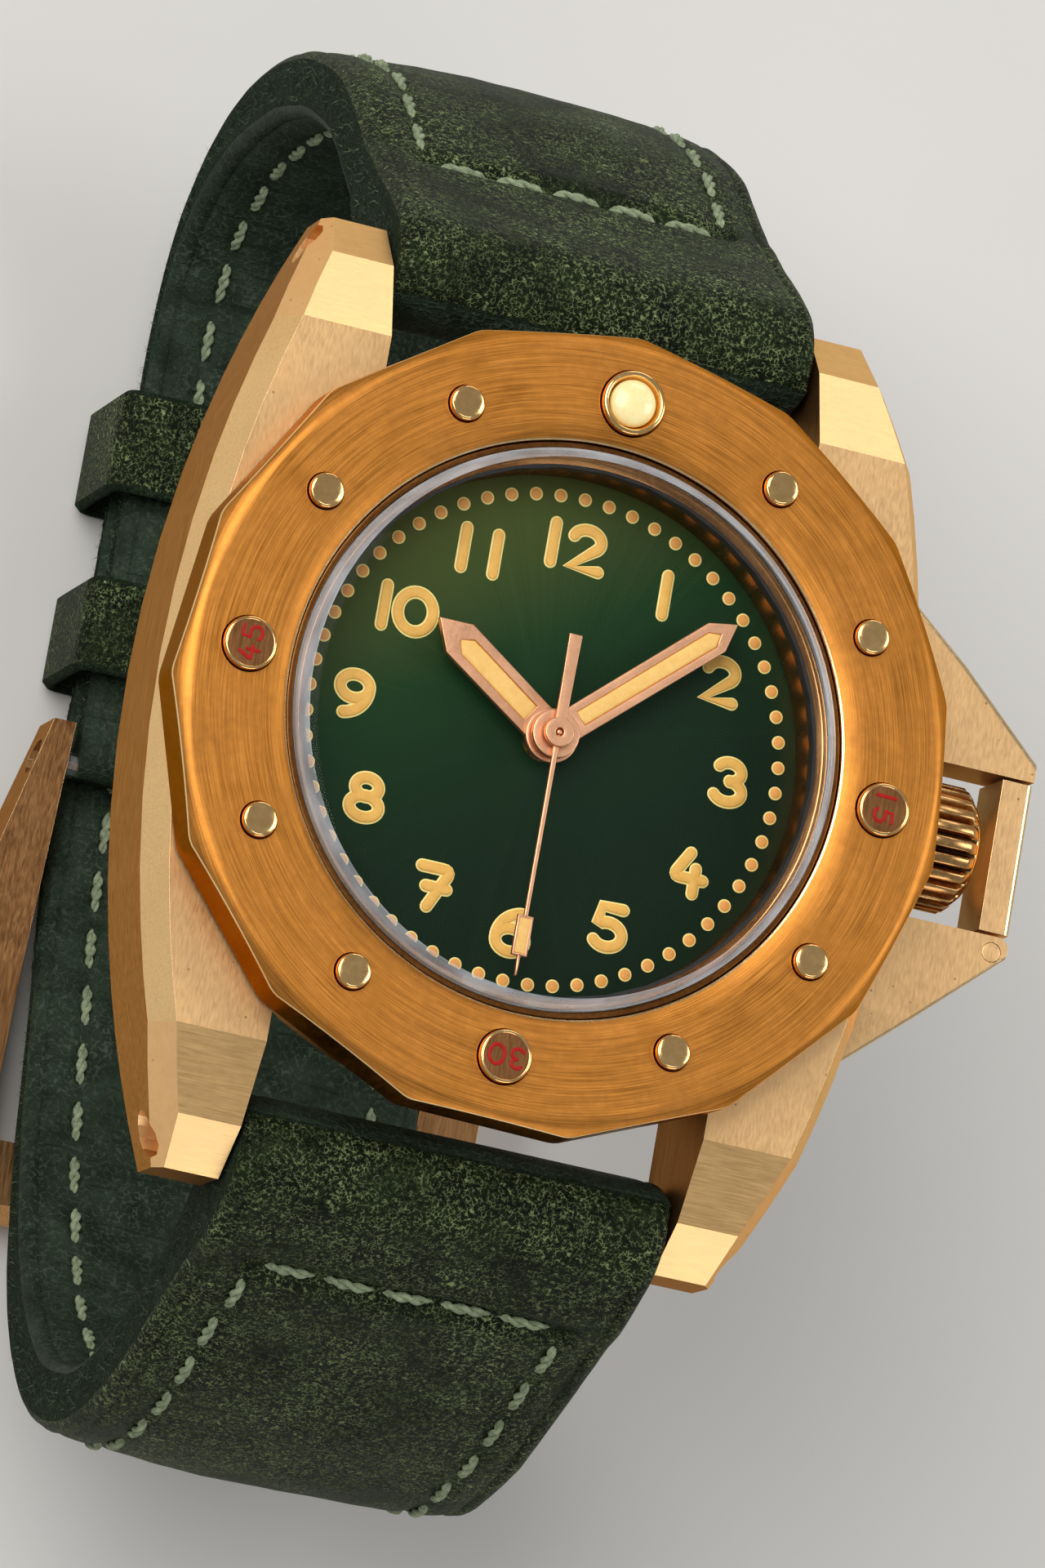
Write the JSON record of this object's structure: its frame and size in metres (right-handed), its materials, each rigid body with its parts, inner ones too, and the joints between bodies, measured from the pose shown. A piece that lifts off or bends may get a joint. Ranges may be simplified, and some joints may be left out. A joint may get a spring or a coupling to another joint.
{
  "type": "dive watch",
  "caption": "Bronze dive wristwatch with a turning faceted bezel, domed crystal, green dial, gated crown guard and a closed distressed leather buckle strap.",
  "frame": {"origin": "centre of the caseback's flat outer face", "axes": "+Z from the caseback out through the dial and crystal, +Y to 12 o'clock along the strap, +X to 3 o'clock and the crown"},
  "size_m": [0.0531, 0.0865, 0.0693],
  "materials": {
    "bronze": "brushed bronze, lightly aged",
    "aged_bronze": "circular-brushed bronze with an orange-brown patina and polished bevels",
    "polished_bronze": "polished bronze",
    "steel": "satin steel",
    "brass": "satin brass",
    "rubber": "matte black rubber",
    "glass": "polished clear domed crystal",
    "dial_green": "satin green lacquer with a soft sunburst",
    "lume": "matte cream luminous fill",
    "leather": "dark green distressed leather with pale scuffs and sage stitches"
  },
  "bodies": {
    "case": {"case_body": "bronze", "caseback": "bronze", "caseback_gasket": "rubber", "bezel_click_spring": "steel", "crystal": "glass", "crystal_gasket": "rubber", "rehaut": "bronze", "dial": "dial_green", "main_plate": "brass", "train_bridge": "steel", "balance_cock": "brass", "movement_holder": "steel", "rotor_bearing": "steel", "crown_tube": "steel", "gate_pin": "steel", "strap_bar_top": "steel", "strap_screw_top_right": "bronze", "strap_screw_top_left": "bronze", "strap_bar_bottom": "steel", "strap_screw_bottom_right": "bronze", "strap_screw_bottom_left": "bronze"},
    "bezel_ring": {"bezel": "aged_bronze", "pearl_cup": "polished_bronze", "lume_pearl": "lume", "bezel_stud_1": "polished_bronze", "bezel_stud_10": "polished_bronze", "bezel_stud_11": "polished_bronze", "bezel_stud_2": "polished_bronze", "bezel_stud_4": "polished_bronze", "bezel_stud_5": "polished_bronze", "bezel_stud_7": "polished_bronze", "bezel_stud_8": "polished_bronze", "number_stud_15": "polished_bronze", "number_stud_30": "polished_bronze", "number_stud_45": "polished_bronze"},
    "seconds": {"seconds_hand": "bronze", "seconds_wheel": "brass"},
    "minutes": {"minute_hand": "bronze", "centre_wheel": "brass"},
    "hours": {"hour_hand": "bronze", "hour_wheel": "brass"},
    "third": {"third_wheel": "brass"},
    "mainspring_barrel": {"barrel": "brass"},
    "escapement": {"escape_wheel": "steel"},
    "balance": {"balance_wheel": "brass"},
    "pallets": {"pallet_fork": "steel"},
    "winding_rotor": {"rotor": "steel"},
    "setting": {"setting_lever": "steel"},
    "winding_crown": {"crown": "bronze", "stem": "steel"},
    "gate": {"crown_gate": "bronze"},
    "upper_strap": {"strap_top": "leather", "fixed_keeper": "leather", "buckle_bar": "steel"},
    "lower_strap": {"strap_bottom": "leather"},
    "sliding_keeper": {"free_keeper": "leather"},
    "buckle": {"buckle_frame": "bronze"},
    "tongue": {"buckle_tongue": "bronze"}
  },
  "joints": [
    {"name": "bezel_turn", "type": "hinge", "parent": "case", "child": "bezel_ring", "pos_m": [0, 0, 0], "axis": [0, 0, -1], "continuous": true},
    {"name": "seconds_turn", "type": "hinge", "parent": "case", "child": "seconds", "pos_m": [0, 0, 0], "axis": [0, 0, -1], "continuous": true},
    {"name": "minutes_turn", "type": "hinge", "parent": "case", "child": "minutes", "pos_m": [0, 0, 0], "axis": [0, 0, -1], "continuous": true},
    {"name": "hours_turn", "type": "hinge", "parent": "case", "child": "hours", "pos_m": [0, 0, 0], "axis": [0, 0, -1], "continuous": true},
    {"name": "third_turn", "type": "hinge", "parent": "case", "child": "third", "pos_m": [0.0052, -0.0036, 0], "axis": [0, 0, -1], "continuous": true},
    {"name": "barrel_turn", "type": "hinge", "parent": "case", "child": "mainspring_barrel", "pos_m": [-0.0038, 0.0062, 0], "axis": [0, 0, -1], "continuous": true},
    {"name": "escape_turn", "type": "hinge", "parent": "case", "child": "escapement", "pos_m": [0.0022, -0.0086, 0], "axis": [0, 0, -1], "continuous": true},
    {"name": "balance_swing", "type": "hinge", "parent": "case", "child": "balance", "pos_m": [-0.0056, -0.0056, 0], "axis": [0, 0, 1], "range_deg": [-270, 270]},
    {"name": "pallet_rock", "type": "hinge", "parent": "case", "child": "pallets", "pos_m": [-0.0012, -0.0083, 0], "axis": [0, 0, 1], "range_deg": [-6, 6]},
    {"name": "rotor_turn", "type": "hinge", "parent": "case", "child": "winding_rotor", "pos_m": [0, 0, 0], "axis": [0, 0, -1], "continuous": true},
    {"name": "crown_pull", "type": "slide", "parent": "case", "child": "setting", "axis": [1, 0, 0], "range_m": [0, 0.0009]},
    {"name": "crown_turn", "type": "hinge", "parent": "setting", "child": "winding_crown", "pos_m": [0, 0, 0.00695], "axis": [1, 0, 0], "continuous": true},
    {"name": "gate_swing", "type": "hinge", "parent": "case", "child": "gate", "pos_m": [0.02925, -0.0056, 0], "axis": [0, 0, -1], "range_deg": [0, 95]},
    {"name": "upper_strap_hinge", "type": "hinge", "parent": "case", "child": "upper_strap", "pos_m": [0, 0.026, 0.006], "axis": [1, 0, 0], "range_deg": [-0.1, 0.1]},
    {"name": "lower_strap_hinge", "type": "hinge", "parent": "case", "child": "lower_strap", "pos_m": [0, -0.026, 0.006], "axis": [1, 0, 0], "range_deg": [-0.1, 0.1]},
    {"name": "keeper_slide", "type": "slide", "parent": "upper_strap", "child": "sliding_keeper", "axis": [0, 1, 0], "range_m": [-0.004, 0.003]},
    {"name": "buckle_swing", "type": "hinge", "parent": "upper_strap", "child": "buckle", "pos_m": [0, 0.004, -0.0456], "axis": [1, 0, 0], "range_deg": [0, 8]},
    {"name": "tongue_lift", "type": "hinge", "parent": "buckle", "child": "tongue", "pos_m": [0, 0.004, -0.0456], "axis": [1, 0, 0], "range_deg": [0, 6]}
  ],
  "couplings": [
    {"joint": "minutes_turn", "follows": "seconds_turn", "ratio": 0.016667},
    {"joint": "hours_turn", "follows": "seconds_turn", "ratio": 0.0013889},
    {"joint": "third_turn", "follows": "seconds_turn", "ratio": -0.13333},
    {"joint": "barrel_turn", "follows": "seconds_turn", "ratio": -0.0020833},
    {"joint": "escape_turn", "follows": "seconds_turn", "ratio": -10},
    {"joint": "lower_strap_hinge", "follows": "upper_strap_hinge", "ratio": -1}
  ]
}
